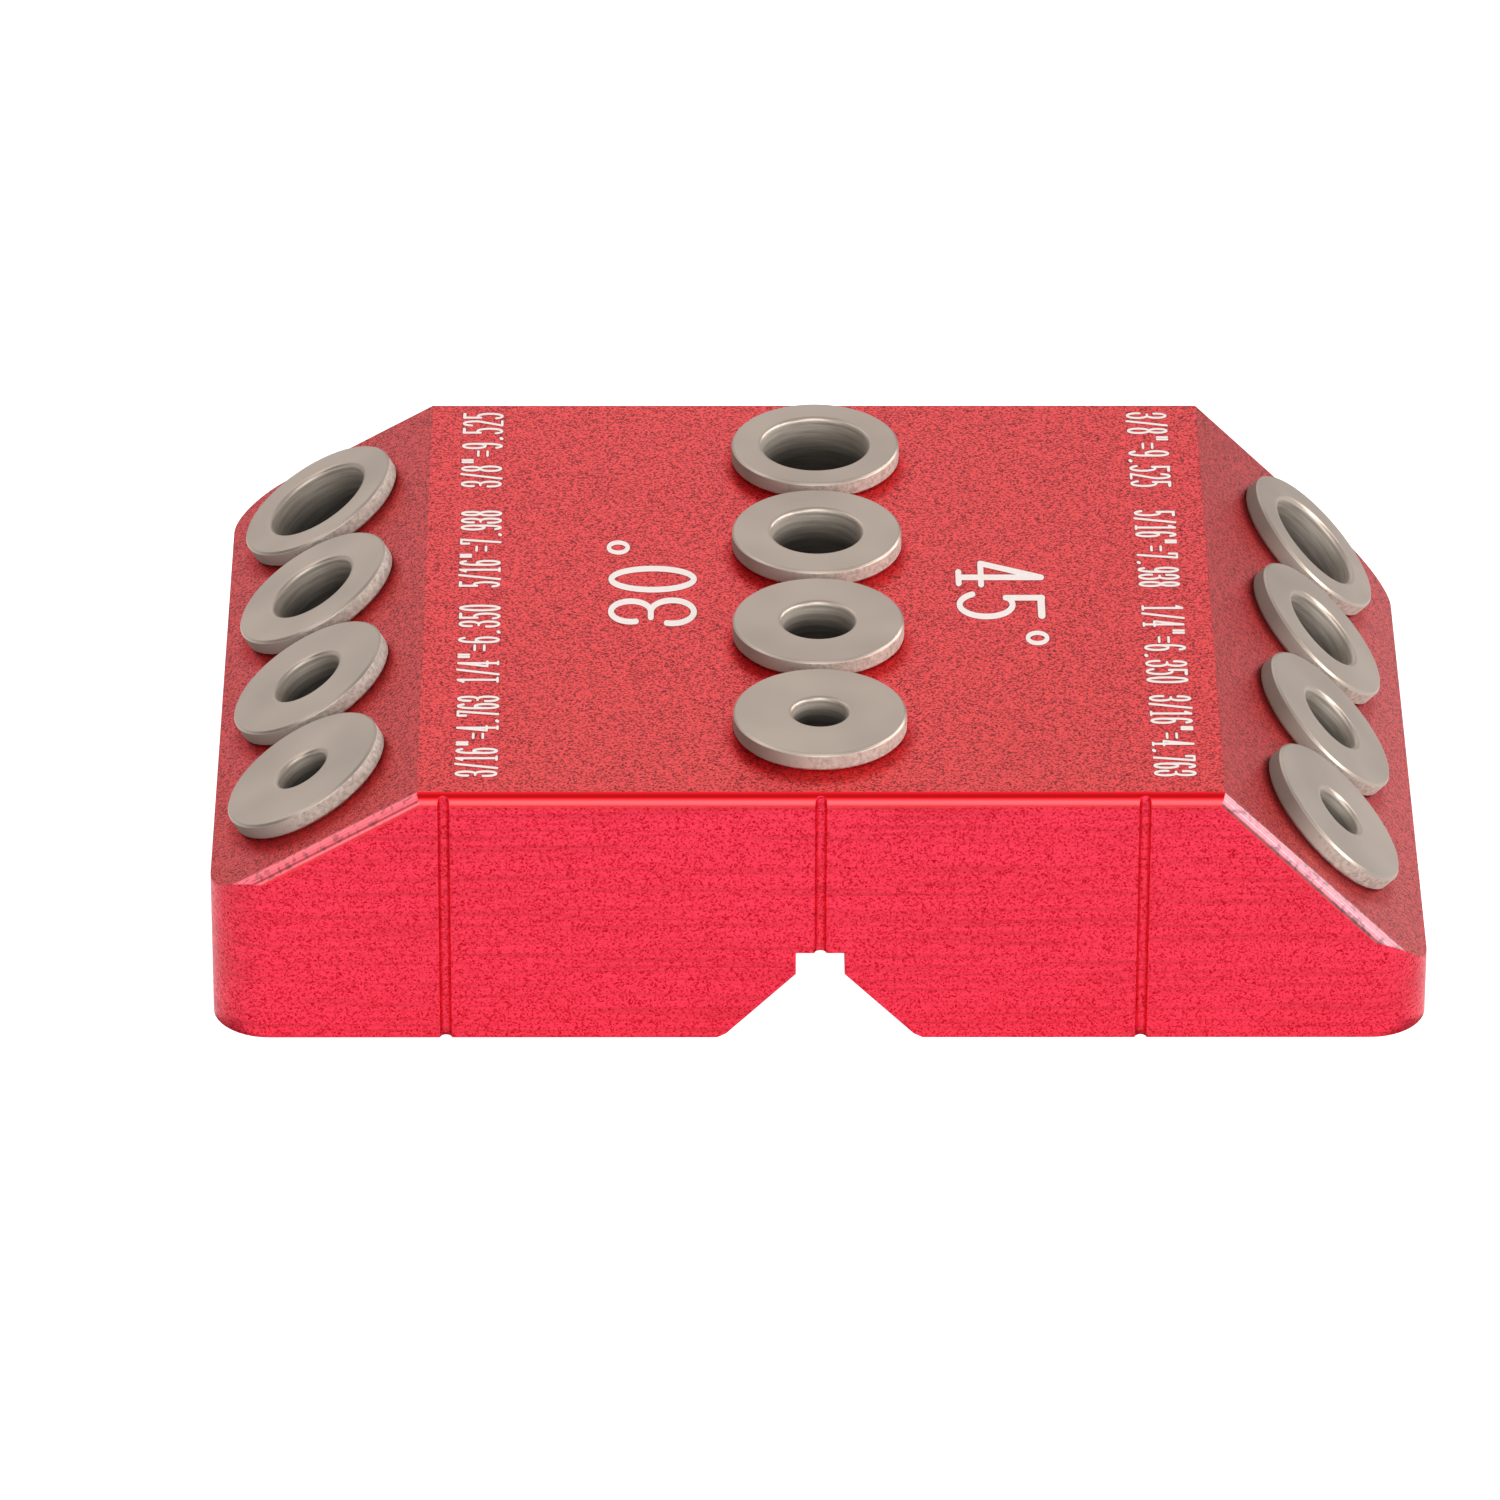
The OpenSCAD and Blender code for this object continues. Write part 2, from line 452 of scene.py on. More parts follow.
def milled_colour(tree, place, pits, finish):
    """Colour of the walls, with their pits and the level lines that the cutter left.

    Real cutter lines are about 0.05 mm apart. They are drawn coarser, so that they show.
    """
    drawn_out = add(tree, "ShaderNodeVectorMath", {0: place, 1: LINE_DRAW}, operation="MULTIPLY")
    lines = add(
        tree,
        "ShaderNodeTexNoise",
        {"Vector": drawn_out, "Scale": 1 / finish.cutter_lines, "Detail": 2},
    )
    scores = add(
        tree,
        "ShaderNodeMapRange",
        {"Value": lines, "From Min": 0.6, "From Max": 0.3, "To Max": 0.6},
    )
    dark = add(tree, "ShaderNodeMath", {0: pits, 1: scores}, operation="MAXIMUM")
    return add(
        tree,
        "ShaderNodeMix",
        {"Factor": dark, "A": finish.wall, "B": finish.wall_pits},
        data_type="RGBA",
    )


def highlit_edge_colour(tree, place, sideways, finish):
    """Colour of the rounded front edges. On the slopes they are painted pale in mottled spots, as a
    highlight.
    """
    spots = add(
        tree,
        "ShaderNodeTexNoise",
        {"Vector": place, "Scale": 1 / finish.highlight_spot, "Detail": 3},
    )
    spots = add(tree, "ShaderNodeMapRange", {"Value": spots, "From Min": 0.5, "From Max": 0.62})
    colour = finish.edge
    for highlit, highlit_spots, side in (
        (finish.highlit_30deg, finish.highlit_30deg_spots, -1),
        (finish.highlit_45deg, finish.highlit_45deg_spots, 1),
    ):
        highlit_mottle = add(
            tree,
            "ShaderNodeMix",
            {"Factor": spots, "A": highlit, "B": highlit_spots},
            data_type="RGBA",
        )
        on_slope = add(
            tree,
            "ShaderNodeMapRange",
            {"Value": sideways, "From Min": 0.1 * side, "From Max": 0.2 * side},
        )
        colour = add(
            tree,
            "ShaderNodeMix",
            {"Factor": on_slope, "A": colour, "B": highlit_mottle},
            data_type="RGBA",
        )
    return colour


def oxide_weight(tree, normal, areas, pits, painted_shade_oxide_share, finish):
    """Weight of the clear oxide, which is thin over the pits and even on the rounded edges. On the
    blasted faces it is cut down with the painted shade.
    """
    blasted, rounded = areas
    thin = add(tree, "ShaderNodeMapRange", {"Value": pits, "To Min": 1.35, "To Max": 0.15})
    on_top = add(
        tree, "ShaderNodeMath", {0: painted_shade_oxide_share, 1: finish.blasted_oxide}, operation="MULTIPLY"
    )
    oxide = add(tree, "ShaderNodeMix", {"Factor": blasted, "A": finish.wall_oxide, "B": on_top})
    oxide = add(tree, "ShaderNodeMath", {0: oxide, 1: thin}, operation="MULTIPLY", use_clamp=True)
    # Painted shade: along the flat top the upper half of the rounded edge gets little oxide sheen,
    # so it stays a deep red.
    lean = add(tree, "ShaderNodeMath", {0: normal.outputs["X"]}, operation="ABSOLUTE")
    crown = add(tree, "ShaderNodeMath", {0: normal.outputs["Z"], 1: lean}, operation="SUBTRACT")
    on_edge = add(
        tree,
        "ShaderNodeMapRange",
        {
            "Value": crown,
            "From Min": 0.6,
            "From Max": 0.75,
            "To Min": finish.edge_oxide,
            "To Max": finish.edge_oxide * finish.crest_oxide,
        },
    )
    return add(tree, "ShaderNodeMix", {"Factor": rounded, "A": oxide, "B": on_edge})


def anodised_aluminium(finish):
    """Aluminium, milled on its walls and bead blasted on top, anodised and dyed red.

    The dye lets the metal's shine through, tinted. The blasted faces sparkle in fine grains, with
    a painted shadow, deeper red and with less sheen, in front of each flange, and painted shade on
    the slopes. The walls carry the cutter's fine level lines. The rounded front edges are smoother
    and catch the lamps, and on the slopes they are painted pale in spots, as a highlight. The clear
    oxide adds a light sheen that grows at a low angle.
    """
    material, tree, shader = new_material(
        "red_anodised_aluminium", finish.wall, finish.roughness, metallic=1
    )
    coordinates = add(tree, "ShaderNodeTexCoord")
    place = coordinates.outputs["Object"]
    normal = add(tree, "ShaderNodeSeparateXYZ", {0: coordinates.outputs["Normal"]})
    blasted, rounded = block_areas(tree, normal)
    grains = add(tree, "ShaderNodeTexVoronoi", {"Vector": place, "Scale": 1 / finish.grain})
    # Each grain has a random value, and the grains at one end of the range are pits.
    chance = add(tree, "ShaderNodeSeparateColor", {0: grains.outputs["Color"]})
    pits = add(tree, "ShaderNodeMapRange", {"Value": chance, "From Min": 0.4, "From Max": 1})

    # Painted shadow: a strip in front of each flange is darker red and has less oxide sheen.
    clear = painted_shadow_clearance(tree, place, finish.painted_shadow_shift)
    painted_shadow_brightness = add(tree, "ShaderNodeMapRange", {"Value": clear, "To Min": finish.painted_shadow_brightness})
    painted_shadow_oxide = add(tree, "ShaderNodeMapRange", {"Value": clear, "To Min": finish.painted_shadow_oxide})
    # Painted shade: the slopes and the strip in front of each flange are darkened in colour and in
    # oxide sheen
    shade = painted_slope_shading(tree, normal.outputs["Z"], finish)
    painted_shade_oxide_share = add(tree, "ShaderNodeMath", {0: shade, 1: painted_shadow_oxide}, operation="MULTIPLY")
    shade = add(tree, "ShaderNodeMath", {0: shade, 1: painted_shadow_brightness}, operation="MULTIPLY")

    wall = milled_colour(tree, place, pits, finish)
    top = add(
        tree,
        "ShaderNodeMix",
        {"Factor": pits, "A": finish.blasted, "B": finish.blasted_pits},
        data_type="RGBA",
    )
    top = add(tree, "ShaderNodeVectorMath", {0: top, 1: shade}, operation="MULTIPLY")
    edge = highlit_edge_colour(tree, place, normal.outputs["X"], finish)
    colour = add(
        tree, "ShaderNodeMix", {"Factor": blasted, "A": wall, "B": top}, data_type="RGBA"
    )
    colour = add(
        tree, "ShaderNodeMix", {"Factor": rounded, "A": colour, "B": edge}, data_type="RGBA"
    )
    oxide = oxide_weight(tree, normal, (blasted, rounded), pits, painted_shade_oxide_share, finish)
    roughness = add(
        tree, "ShaderNodeMix", {"Factor": rounded, "A": finish.roughness, "B": finish.polish}
    )
    broken = add(tree, "ShaderNodeBevel", {"Radius": finish.edge_radius}, samples=8)
    height = add(tree, "ShaderNodeMix", {"Factor": rounded, "A": pits, "B": 0.5})
    relief = add(
        tree,
        "ShaderNodeBump",
        {"Strength": 0.3, "Distance": PIT_DEPTH, "Height": height, "Normal": broken},
        invert=True,
    )
    fill(
        tree,
        shader,
        {
            "Base Color": colour,
            "Roughness": roughness,
            "Normal": relief,
            "Coat Normal": relief,
            "Coat Weight": oxide,
            "Coat Roughness": finish.gloss,
            "Coat IOR": OXIDE_IOR,
        },
    )
    return material


def rim_colour(tree, normal, across, blotches, finish):
    """Colour of the rims, blotched with scale, and with painted shade on their 30 degree side."""
    spots = add(
        tree,
        "ShaderNodeMapRange",
        {"Value": blotches, "From Min": 0.4, "From Max": 0.7, "To Max": 0.55},
    )
    lean = add(
        tree, "ShaderNodeVectorMath", {0: normal, 1: across}, operation="DOT_PRODUCT"
    ).outputs["Value"]
    # Painted shade on the side of the rim that faces the 30 degree slope
    painted_side_shade = add(
        tree,
        "ShaderNodeMapRange",
        {"Value": lean, "From Min": 0, "From Max": -0.8, "To Max": finish.painted_rim_shade},
    )
    share = add(tree, "ShaderNodeMath", {0: spots, 1: painted_side_shade}, operation="MAXIMUM")
    return add(
        tree,
        "ShaderNodeMix",
        {"Factor": share, "A": finish.rim, "B": finish.scale},
        data_type="RGBA",
    )


def bore_colour(tree, rings, height, radius, finish):
    """Colour of the bores, with turning lines, and with painted shade that darkens them further
    down.
    """
    turned = add(
        tree,
        "ShaderNodeMix",
        {"Factor": rings, "A": finish.scale, "B": finish.bore},
        data_type="RGBA",
    )
    rise = add(tree, "ShaderNodeMath", {0: height, 1: radius}, operation="DIVIDE")
    # Painted shade: the bore darkens with depth, measured in its radii
    depth_shade = add(
        tree,
        "ShaderNodeMapRange",
        {
            "Value": rise,
            "From Min": -finish.painted_shade_depth,
            "From Max": -0.05,
            "To Min": finish.painted_bore_shade,
            "To Max": 1,
        },
        interpolation_type="SMOOTHSTEP",
    )
    return add(tree, "ShaderNodeVectorMath", {0: turned, 1: depth_shade}, operation="MULTIPLY")


def hardened_steel(row, finish):
    """Hardened tool steel, turned in the bore, ground on the face and tumbled on the rim.

    The ground face is an even warm grey with a soft shine. The rim is blotched where scale is
    left, and has painted shade that makes it browner on one side. Fine turning lines run round the
    bore, and painted shade darkens it further down. The pattern follows the axes of one row.
    """
    mouth, axis, across, pitch = row_axes(row)
    material, tree, shader = new_material(
        f"ground_hardened_steel_{row}", finish.steel, finish.roughness, metallic=1
    )
    coordinates = add(tree, "ShaderNodeTexCoord")
    place = coordinates.outputs["Object"]
    normal = coordinates.outputs["Normal"]
    offset = add(tree, "ShaderNodeVectorMath", {0: place, 1: mouth}, operation="SUBTRACT")
    height = add(
        tree, "ShaderNodeVectorMath", {0: offset, 1: axis}, operation="DOT_PRODUCT"
    ).outputs["Value"]
    sideways = add(
        tree, "ShaderNodeVectorMath", {0: offset, 1: across}, operation="DOT_PRODUCT"
    ).outputs["Value"]
    forward = add(tree, "ShaderNodeSeparateXYZ", {0: offset}).outputs["Y"]
    # The bushings of a row stand one pitch apart, so one pattern repeats for all of them.
    forward = add(
        tree, "ShaderNodeMath", {0: forward, 1: pitch / 2, 2: -pitch / 2}, operation="WRAP"
    )
    flat = add(tree, "ShaderNodeCombineXYZ", {"X": sideways, "Y": forward})
    radius = add(tree, "ShaderNodeVectorMath", {0: flat}, operation="LENGTH").outputs["Value"]
    facing = add(
        tree, "ShaderNodeVectorMath", {0: normal, 1: axis}, operation="DOT_PRODUCT"
    ).outputs["Value"]
    face = add(tree, "ShaderNodeMapRange", {"Value": facing, "From Min": 0.3, "From Max": 0.6})
    # 1 outside the bushing's body, which is the flange, and 0 in the bore
    flange = add(
        tree,
        "ShaderNodeMapRange",
        {"Value": radius, "From Min": BODY_REACH[0], "From Max": BODY_REACH[1]},
    )

    blotches = add(
        tree,
        "ShaderNodeTexNoise",
        {"Vector": place, "Scale": 1 / finish.blotch, "Detail": 4, "Roughness": 0.7},
    )
    # Turning lines are rings: the noise changes fast with height and slowly round the axis.
    ring_place = add(tree, "ShaderNodeVectorMath", {0: flat, 1: RING_DRAW}, operation="MULTIPLY")
    lifted = add(tree, "ShaderNodeCombineXYZ", {"Z": height})
    ring_place = add(tree, "ShaderNodeVectorMath", {0: ring_place, 1: lifted}, operation="ADD")
    rings = add(
        tree,
        "ShaderNodeTexNoise",
        {"Vector": ring_place, "Scale": 1 / finish.turning, "Detail": 3, "Roughness": 0.6},
    )
    clouds = add(
        tree,
        "ShaderNodeTexNoise",
        {"Vector": place, "Scale": 1 / finish.cloud, "Detail": 1},
    )
    cloudy = add(
        tree,
        "ShaderNodeMapRange",
        {"Value": clouds, "From Min": 0.3, "From Max": 0.7, "To Min": 0.9, "To Max": 1.08},
    )

    bore = bore_colour(tree, rings, height, radius, finish)
    rim = rim_colour(tree, normal, across, blotches, finish)
    side = add(tree, "ShaderNodeMix", {"Factor": flange, "A": bore, "B": rim}, data_type="RGBA")
    ground = add(tree, "ShaderNodeVectorMath", {0: finish.steel, 1: cloudy}, operation="MULTIPLY")
    colour = add(
        tree, "ShaderNodeMix", {"Factor": face, "A": side, "B": ground}, data_type="RGBA"
    )
    side_height = add(tree, "ShaderNodeMix", {"Factor": flange, "A": rings, "B": blotches})
    relief_height = add(tree, "ShaderNodeMix", {"Factor": face, "A": side_height, "B": 0.5})
    broken = add(tree, "ShaderNodeBevel", {"Radius": finish.edge_radius}, samples=8)
    relief = add(
        tree,
        "ShaderNodeBump",
        {"Strength": 0.15, "Distance": LINE_DEPTH, "Height": relief_height, "Normal": broken},
    )
    side_roughness = add(
        tree,
        "ShaderNodeMix",
        {"Factor": flange, "A": finish.bore_roughness, "B": finish.rim_roughness},
    )
    roughness = add(
        tree, "ShaderNodeMix", {"Factor": face, "A": side_roughness, "B": finish.roughness}
    )
    fill(tree, shader, {"Base Color": colour, "Roughness": roughness, "Normal": relief})
    return material


def bleached_aluminium(marks):
    """Anodised aluminium with its dye bleached out by a laser.

    The marks are a dull, even off-white with a slightly clouded tone.
    """
    material, tree, shader = new_material(
        "laser_bleached_aluminium", marks.colour, roughness=0.6, metallic=0
    )
    place = add(tree, "ShaderNodeTexCoord").outputs["Object"]
    clouds = add(
        tree,
        "ShaderNodeTexNoise",
        {"Vector": place, "Scale": 1 / marks.cloud, "Detail": 3},
    )
    clouded = [marks.cloud_shade * share for share in marks.colour]
    colour = add(
        tree,
        "ShaderNodeMix",
        {"Factor": clouds, "A": marks.colour, "B": clouded},
        data_type="RGBA",
    )
    fill(tree, shader, {"Base Color": colour})
    return material


def scorched_aluminium(marks):
    """Anodised aluminium scorched by the edge of a laser's spot.

    It sets the marks off with a thin, dull, dark red line.
    """
    return new_material(
        "laser_scorched_aluminium", marks.scorched, roughness=0.7, metallic=0
    )[0]


def arc(centre, radii, start, end, turn_steps):
    """Points along an ellipse, from one angle in degrees to another."""
    steps = max(2, round(abs(end - start) / 360 * turn_steps))
    angles = [math.radians(start + (end - start) * i / steps) for i in range(steps + 1)]
    return [
        (centre[0] + radii[0] * math.cos(angle), centre[1] + radii[1] * math.sin(angle))
        for angle in angles
    ]


def figure_strokes(figure, steps):
    """Middle lines of one figure's strokes, each as (points, closed, width of the pen).

    A figure fills a cell 1 wide and 1 high, and its pen of width 1 is the stroke width.
    """
    if figure == "0":
        return [(arc((0.5, 0.5), (0.5, 0.5), 0, 360, steps)[:-1], True, 1)]
    if figure == "1":
        return [
            ([(0.12, 0.86), (0.55, 1), (0.55, 0)], False, 1),
            ([(0.18, 0), (0.92, 0)], False, 1),
        ]
    if figure == "2":
        hook = arc((0.5, 0.72), (0.48, 0.28), 165, -35, steps)
        return [(hook + [(0.03, 0)], False, 1), ([(0.03, 0), (1, 0)], False, 1)]
    if figure == "3":
        upper = arc((0.48, 0.76), (0.48, 0.24), 195, -90, steps)
        lower = arc((0.46, 0.26), (0.54, 0.26), 90, -195, steps)
        return [(upper, False, 1), (lower, False, 1), ([(0.2, 0.52), (0.42, 0.52)], False, 1)]
    if figure == "4":
        return [
            ([(0.66, 1), (0, 0.27), (1, 0.27)], False, 1),
            ([(0.66, 1), (0.66, 0)], False, 1),
            ([(0.4, 0), (0.95, 0)], False, 1),
        ]
    if figure == "5":
        bowl = arc((0.44, 0.32), (0.56, 0.32), 125, -150, steps)
        return [
            ([(0.95, 0.985), (0.14, 0.985)], False, 1.25),
            ([(0.12, 1), (0.12, 0.56)], False, 1),
            (bowl, False, 1),
        ]
    if figure == "6":
        back = arc((0.52, 0.6), (0.52, 0.4), 180, 42, steps)
        return [
            (arc((0.5, 0.29), (0.5, 0.29), 0, 360, steps)[:-1], True, 1),
            ([(0, 0.29)] + back, False, 1),
        ]
    if figure == "7":
        return [([(0, 0.8), (0, 1), (1, 1), (0.35, 0)], False, 1)]
    if figure == "8":
        return [
            (arc((0.5, 0.77), (0.42, 0.23), 0, 360, steps)[:-1], True, 1),
            (arc((0.5, 0.27), (0.5, 0.27), 0, 360, steps)[:-1], True, 1),
        ]
    if figure == "9":
        strokes = figure_strokes("6", steps)
        return [([(1 - x, 1 - y) for x, y in line], shut, pen) for line, shut, pen in strokes]
    if figure == "/":
        return [([(0, -0.02), (1, 1.02)], False, 1)]
    if figure == "=":
        return [([(0, y), (1, y)], False, 1) for y in (0.36, 0.6)]
    if figure == ".":
        return [([(0.4, 0), (0.55, 0.02)], False, 1.3)]
    if figure == '"':
        return [([(x, 0.74), (x, 1)], False, 1) for x in (0.25, 0.75)]
    if figure == "°":
        return [(arc((0.5, 0.92), (0.24, 0.115), 0, 360, steps)[:-1], True, 0.75)]
    raise ValueError(f"no strokes for {figure!r}")


def stroke_shapes(line, closed, half_width, steps):
    """Convex shapes that together cover a line drawn with a round pen."""
    points = [Vector(p) for p in line]
    ends = points[1:] + points[:1] if closed else points[1:]
    sides = [(b - a).normalized().orthogonal() * half_width for a, b in zip(points, ends)]
    shapes = [[a + s, a - s, b - s, b + s] for a, b, s in zip(points, ends, sides)]
    round_ends = [] if closed else [points[0], points[-1]]
    for i in range(0 if closed else 1, len(sides)):
        point, before, after = points[i], sides[i - 1], sides[i]
        turn = before.x * after.y - before.y * after.x
        if before.angle(after) > SHARP_TURN:
            round_ends.append(point)
        elif turn > 0:
            shapes.append([point, point - before, point - after])
        elif turn < 0:
            shapes.append([point, point + after, point + before])
    turns = [2 * math.pi * i / steps for i in range(steps)]
    for point in round_ends:
        shapes.append([point + half_width * Vector((math.cos(t), math.sin(t))) for t in turns])
    return shapes


def joined(shapes):
    """One flat outline of overlapping convex shapes, as (points, triangles)."""
    points = [point for shape in shapes for point in shape]
    faces = []
    for shape in shapes:
        first = sum(len(face) for face in faces)
        faces.append(list(range(first, first + len(shape))))
    points, _, triangles, _, _, sources = delaunay_2d_cdt(points, [], faces, 0, WELD)
    return points, [t for t, source in zip(triangles, sources) if source]


def add_figures(bm, text, corner, reading, height, pitch, pen, widening, steps):
    """Adds a row of flat figures to a mesh, from its lower left corner on the flat top."""
    rise = Vector((-reading.y, reading.x, 0))
    width = FIGURE_FILL * pitch
    span = Vector((width - pen[0], height - pen[1]))
    wide = Vector(pen) + 2 * Vector((widening, widening))
    for i, figure in enumerate(text):
        shift = Vector((i * pitch + (pitch - width) / 2 + pen[0] / 2, pen[1] / 2))
        shapes = []
        for line, closed, pen_share in figure_strokes(figure, steps):
            # In pen widths, where the pen is round
            line = [
                ((x * span.x + shift.x) / wide.x, (y * span.y + shift.y) / wide.y) for x, y in line
            ]
            shapes += stroke_shapes(line, closed, pen_share / 2, steps // 2)
        points, triangles = joined(shapes)
        verts = [
            bm.verts.new(corner + reading * (p.x * wide.x) + rise * (p.y * wide.y)) for p in points
        ]
        for triangle in triangles:
            bm.faces.new([verts[k] for k in triangle])


def marks_piece(name, rows, proud, widening, marks):
    """A piece of number marks from rows, each the figures' text, place, direction and sizes."""
    bm = bmesh.new()
    for row in rows:
        add_figures(bm, *row, widening, marks.arc_steps)
    loose = [vert for vert in bm.verts if not vert.link_faces]
    bmesh.ops.delete(bm, geom=loose, context="VERTS")
    bmesh.ops.dissolve_limit(bm, angle_limit=math.radians(0.5), verts=bm.verts, edges=bm.edges)
    bmesh.ops.translate(bm, vec=(0, 0, -marks.sunk), verts=bm.verts)
    raised = bmesh.ops.extrude_face_region(bm, geom=bm.faces[:], use_keep_orig=True)
    raised_verts = [item for item in raised["geom"] if isinstance(item, bmesh.types.BMVert)]
    bmesh.ops.translate(bm, vec=(0, 0, marks.sunk + proud), verts=raised_verts)
    bmesh.ops.recalc_face_normals(bm, faces=bm.faces)
    mesh = bpy.data.meshes.new(name)
    bm.to_mesh(mesh)
    bm.free()
    piece = bpy.data.objects.new(name, mesh)
    bpy.context.scene.collection.objects.link(piece)
    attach(piece, "root")
    return piece


def add_marks(name, rows, marks):
    """Rows of number marks, and the thin line that the laser scorched round them."""
    piece = marks_piece(name, rows, marks.proud, 0, marks)
    piece.data.materials.append(
        bpy.data.materials.get("laser_bleached_aluminium") or bleached_aluminium(marks)
    )
    piece = marks_piece(f"{name}_outline", rows, marks.proud / 2, SCORCH, marks)
    piece.data.materials.append(
        bpy.data.materials.get("laser_scorched_aluminium") or scorched_aluminium(marks)
    )


def lit_acrylic(studio):
    """White acrylic sheet, lit from below, so that hardly a shadow falls on it.

    It looks white all over. What the block sees of it is dimmer and ends near by, as if the sheet
    were masked, so that the sides of the flanges and the slopes keep their shade.
    """
    material, tree, shader = new_material(
        "back_lit_white_acrylic", studio.floor_colour, roughness=0.9, metallic=0
    )
    place = add(tree, "ShaderNodeTexCoord").outputs["Object"]
    distance = add(tree, "ShaderNodeVectorMath", {0: place}, operation="LENGTH").outputs["Value"]
    spill = add(
        tree,
        "ShaderNodeMapRange",
        {
            "Value": distance,
            "From Min": 0.8 * studio.spill_reach,
            "From Max": 1.2 * studio.spill_reach,
            "To Min": studio.floor_spill,
            "To Max": 0,
        },
    )
    # Black felt lies right under the block, so that its bores stay dark.
    share = add(
        tree,
        "ShaderNodeVectorMath",
        {0: place, 1: (1 / CAD_BOX[1].x, 1 / CAD_BOX[1].y, 0)},
        operation="MULTIPLY",
    )
    share = add(tree, "ShaderNodeVectorMath", {0: share}, operation="ABSOLUTE")
    share = add(tree, "ShaderNodeSeparateXYZ", {0: share})
    share = add(
        tree, "ShaderNodeMath", {0: share.outputs["X"], 1: share.outputs["Y"]}, operation="MAXIMUM"
    )
    outside = add(tree, "ShaderNodeMath", {0: share, 1: 1}, operation="GREATER_THAN")
    spill = add(tree, "ShaderNodeMath", {0: spill, 1: outside}, operation="MULTIPLY")
    ray = add(tree, "ShaderNodeLightPath").outputs["Is Camera Ray"]
    light = add(tree, "ShaderNodeMix", {"Factor": ray, "A": spill, "B": studio.floor_light})
    white = (1, 1, 1)
    fill(
        tree,
        shader,
        {"Emission Strength": light, "Emission Color": white, "Specular IOR Level": 0},
    )
    return material


def make_floor(studio):
    """A wide light table under the block."""
    bm = bmesh.new()
    bmesh.ops.create_grid(bm, x_segments=1, y_segments=1, size=studio.floor_size / 2)
    mesh = bpy.data.meshes.new("floor")
    bm.to_mesh(mesh)
    bm.free()
    floor = bpy.data.objects.new("floor", mesh)
    mesh.materials.append(lit_acrylic(studio))
    bpy.context.scene.collection.objects.link(floor)


def direction(azimuth, elevation):
    """Unit vector, from degrees to the right of -Y and degrees over the horizon."""
    a, e = math.radians(azimuth), math.radians(elevation)
    return (math.sin(a) * math.cos(e), -math.cos(a) * math.cos(e), math.sin(e))


def make_light(studio):
    """A white tent with soft panels, drawn on the sky. The camera sees a plain white backdrop."""
    world = bpy.data.worlds.new("studio_tent")
    bpy.context.scene.world = world
    world.use_nodes = True
    tree = world.node_tree
    tree.nodes.clear()
    way = add(tree, "ShaderNodeTexCoord").outputs["Generated"]
    total = studio.tent
    for azimuth, elevation, inner, outer, strength in PANELS:
        near = add(
            tree,
            "ShaderNodeVectorMath",
            {0: way, 1: direction(azimuth, elevation)},
            operation="DOT_PRODUCT",
        ).outputs["Value"]
        panel = add(
            tree,
            "ShaderNodeMapRange",
            {
                "Value": near,
                "From Min": math.cos(math.radians(outer)),
                "From Max": math.cos(math.radians(inner)),
                "To Max": strength,
            },
            interpolation_type="SMOOTHSTEP",
        )
        total = add(tree, "ShaderNodeMath", {0: total, 1: panel}, operation="ADD")
    tent = add(tree, "ShaderNodeBackground", {"Strength": total})
    backdrop = add(tree, "ShaderNodeBackground", {"Strength": 1.0})
    ray = add(tree, "ShaderNodeLightPath").outputs["Is Camera Ray"]
    shown = add(tree, "ShaderNodeMixShader", {0: ray, 1: tent, 2: backdrop})
    add(tree, "ShaderNodeOutputWorld", {"Surface": shown})


def make_camera(studio):
    """The camera of the photograph's view."""
    yaw, pitch, roll = studio.camera_yaw, studio.camera_pitch, studio.camera_roll
    ahead = Vector(
        (math.sin(yaw) * math.cos(pitch), math.cos(yaw) * math.cos(pitch), -math.sin(pitch))
    )
    level = Vector((math.cos(yaw), -math.sin(yaw), 0))
    upward = level.cross(ahead)
    right = level * math.cos(roll) + upward * math.sin(roll)
    up = upward * math.cos(roll) - level * math.sin(roll)
    data = bpy.data.cameras.new("camera")
    data.lens = studio.lens
    data.sensor_width = 36
    data.clip_start = 0.01
    data.clip_end = 100
    camera = bpy.data.objects.new("camera", data)
    turn = Matrix((right, up, -ahead)).transposed().to_4x4()
    camera.matrix_world = Matrix.Translation(studio.camera_place) @ turn
    bpy.context.scene.collection.objects.link(camera)
    bpy.context.scene.camera = camera


class DRILLGUIDE_OT_finish_block(bpy.types.Operator):
    """Gives the block its red anodised finish"""

    bl_idname = "drillguide.finish_block"
    bl_label = "Finish the block"

    def execute(self, context):
        dress(BLOCK, anodised_aluminium(context.scene.drill_guide.block))
        return {"FINISHED"}


class DRILLGUIDE_OT_finish_bushings(bpy.types.Operator):
    """Gives the twelve bushings their ground and turned steel"""

    bl_idname = "drillguide.finish_bushings"
    bl_label = "Finish the bushings"

    def execute(self, context):
        for row in ROWS:
            steel = hardened_steel(row, context.scene.drill_guide.bushings)
            for size in SIZES:
                dress(f"bushing_{row}_{size}", steel)
        return {"FINISHED"}


class DRILLGUIDE_OT_mark_angles(bpy.types.Operator):
    """Marks the angle of each slope on the flat top"""

    bl_idname = "drillguide.mark_angles"
    bl_label = "Mark the angles"

    def execute(self, context):
        marks = context.scene.drill_guide.marks
        length = 3 * marks.angle_pitch
        for row, baseline, middle, side in ANGLE_MARKS:
            reading = Vector((0, -side, 0))
            corner = Vector((baseline, middle + side * length / 2, FLAT_TOP))
            text = f"{row.removesuffix('deg')}°"
            figures = (text, corner, reading, marks.angle_height, marks.angle_pitch, ANGLE_PEN)
            add_marks(f"angle_mark_{row}", [figures], marks)
        return {"FINISHED"}


